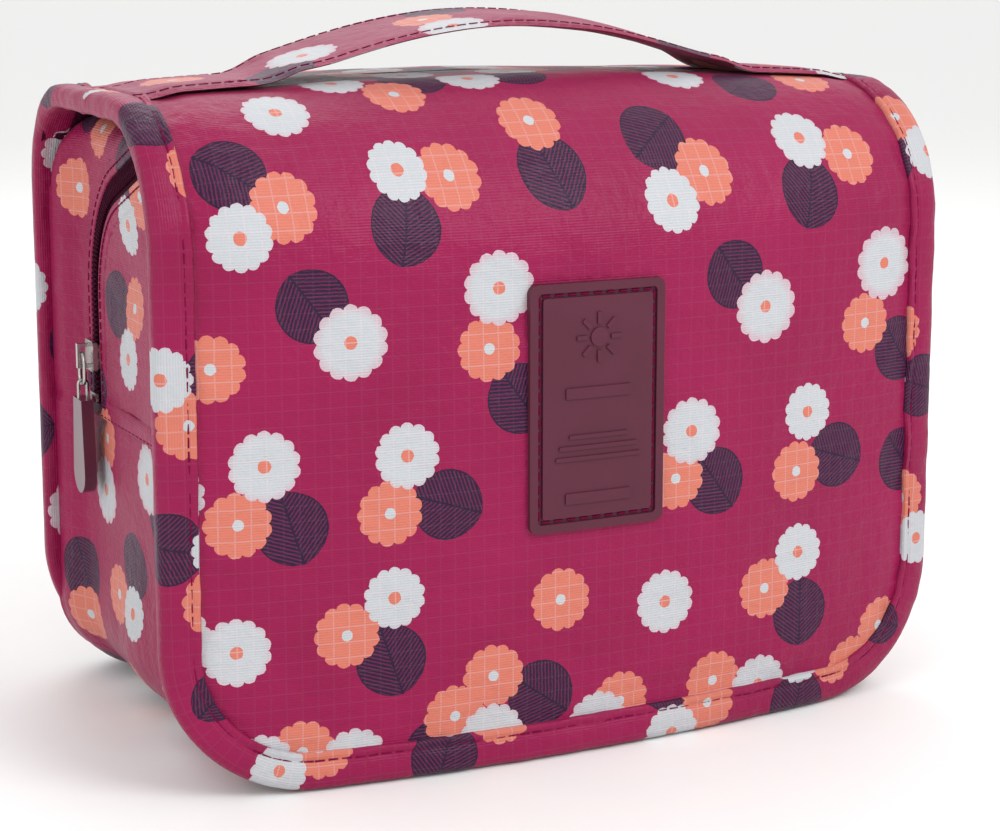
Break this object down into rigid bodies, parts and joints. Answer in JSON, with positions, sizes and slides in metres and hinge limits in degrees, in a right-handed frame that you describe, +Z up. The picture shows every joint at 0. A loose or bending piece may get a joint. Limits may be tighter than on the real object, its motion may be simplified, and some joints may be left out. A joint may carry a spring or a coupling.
{
  "type": "hanging toiletry bag",
  "caption": "Hanging toiletry bag: zipped pouch in a padded wrap-round cover that folds up and over, with a carry handle, a side zip and a pull-out hook.",
  "frame": {"origin": "middle of the base, on the surface it stands on", "axes": "+X across the bag to the right seen from the front, +Y to the back panel, +Z up to the handle"},
  "size_m": [0.24, 0.1481, 0.2045],
  "materials": {
    "printed_ripstop": "printed ripstop polyester, satin",
    "printed_binding": "printed ripstop binding tape, satin",
    "foam": "closed-cell sheet foam",
    "lining": "plain woven polyester lining",
    "mesh": "knitted mesh",
    "elastic": "woven elastic",
    "zip_tape": "herringbone zip tape",
    "zip_coil": "nylon coil",
    "plated_metal": "nickel plated",
    "label_rubber": "moulded soft PVC",
    "pull_plastic": "moulded, polished face",
    "hook_plastic": "moulded acetal",
    "webbing": "woven polyester webbing",
    "touch_fastener": "hook and loop tape"
  },
  "bodies": {
    "bag_body": {"back_cover": "printed_ripstop", "back_foam": "foam", "back_lining": "lining", "back_binding": "printed_binding", "lower_gusset": "printed_ripstop", "upper_gusset": "printed_ripstop", "side_strips": "printed_ripstop", "pouch_front": "printed_ripstop", "zip_tape_rear": "zip_tape", "zip_tape_front": "zip_tape", "zip_coil_rear": "zip_coil", "zip_coil_front": "zip_coil", "zip_stops": "plated_metal", "slip_pocket_left": "mesh", "slip_pocket_right": "mesh", "slip_elastic_left": "elastic", "slip_elastic_right": "elastic", "closure_loop_pads": "touch_fastener", "inner_pocket": "mesh", "inner_elastic": "elastic"},
    "top_panel": {"top_cover": "printed_ripstop", "top_foam": "foam", "top_lining": "lining", "top_binding_left": "printed_binding", "top_binding_right": "printed_binding", "handle_end_left": "printed_ripstop", "handle_end_right": "printed_ripstop", "flap_fold": "printed_ripstop", "back_fold": "printed_ripstop"},
    "handle": {"handle_strap": "printed_ripstop"},
    "front_flap": {"flap_cover": "printed_ripstop", "flap_foam": "foam", "flap_lining": "lining", "flap_binding": "printed_binding", "label_patch": "label_rubber", "flap_pocket_mesh": "mesh", "flap_pocket_edging": "elastic", "pocket_zip_lower": "zip_tape", "pocket_zip_upper": "zip_tape", "closure_hook_pads": "touch_fastener", "hook_keeper": "elastic"},
    "hook_strap": {"hook_webbing": "webbing", "webbing_stop": "hook_plastic", "hook_eye": "hook_plastic"},
    "hook": {"hook": "hook_plastic"},
    "main_slider": {"zip_slider": "plated_metal"},
    "pull_ring": {"pull_ring": "plated_metal"},
    "pull": {"pull_clip": "plated_metal", "pull_tab": "pull_plastic"},
    "pocket_slider": {"pocket_slider": "plated_metal"},
    "pocket_pull": {"pocket_pull": "plated_metal"}
  },
  "joints": [
    {"name": "top_fold", "type": "hinge", "parent": "bag_body", "child": "top_panel", "pos_m": [0, 0.064, 0.179], "axis": [-1, 0, 0], "range_deg": [0, 90]},
    {"name": "flap_fold", "type": "hinge", "parent": "top_panel", "child": "front_flap", "pos_m": [0, -0.06, 0.179], "axis": [-1, 0, 0], "range_deg": [0, 180]},
    {"name": "handle_press", "type": "slide", "parent": "top_panel", "child": "handle", "axis": [0, 0, -1], "range_m": [0, 0.01], "stiffness_N_per_m": 120},
    {"name": "hook_pull", "type": "slide", "parent": "front_flap", "child": "hook_strap", "axis": [0, 0, -1], "range_m": [0, 0.05]},
    {"name": "hook_swivel", "type": "hinge", "parent": "hook_strap", "child": "hook", "pos_m": [0, -0.06, 0.06], "axis": [0, 0, 1], "range_deg": [-10, 10]},
    {"name": "zip_travel", "type": "slide", "parent": "bag_body", "child": "main_slider", "axis": [0, 0, 1], "range_m": [-0.006, 0.012]},
    {"name": "ring_swing", "type": "hinge", "parent": "main_slider", "child": "pull_ring", "pos_m": [-0.1147, 0.031, 0.1045], "axis": [0, 1, 0], "range_deg": [0, 90]},
    {"name": "pull_swing", "type": "hinge", "parent": "pull_ring", "child": "pull", "pos_m": [-0.1147, 0.031, 0.0952], "axis": [0, 1, 0], "range_deg": [0, 60]},
    {"name": "pocket_zip_travel", "type": "hinge", "parent": "front_flap", "child": "pocket_slider", "pos_m": [0, 0.534, 0.132], "axis": [0, 0, 1], "range_deg": [0, 15.2]},
    {"name": "pocket_pull_swing", "type": "hinge", "parent": "pocket_slider", "child": "pocket_pull", "pos_m": [-0.07886, -0.05706, 0.132], "axis": [0, 0, 1], "range_deg": [0, 10]}
  ]
}
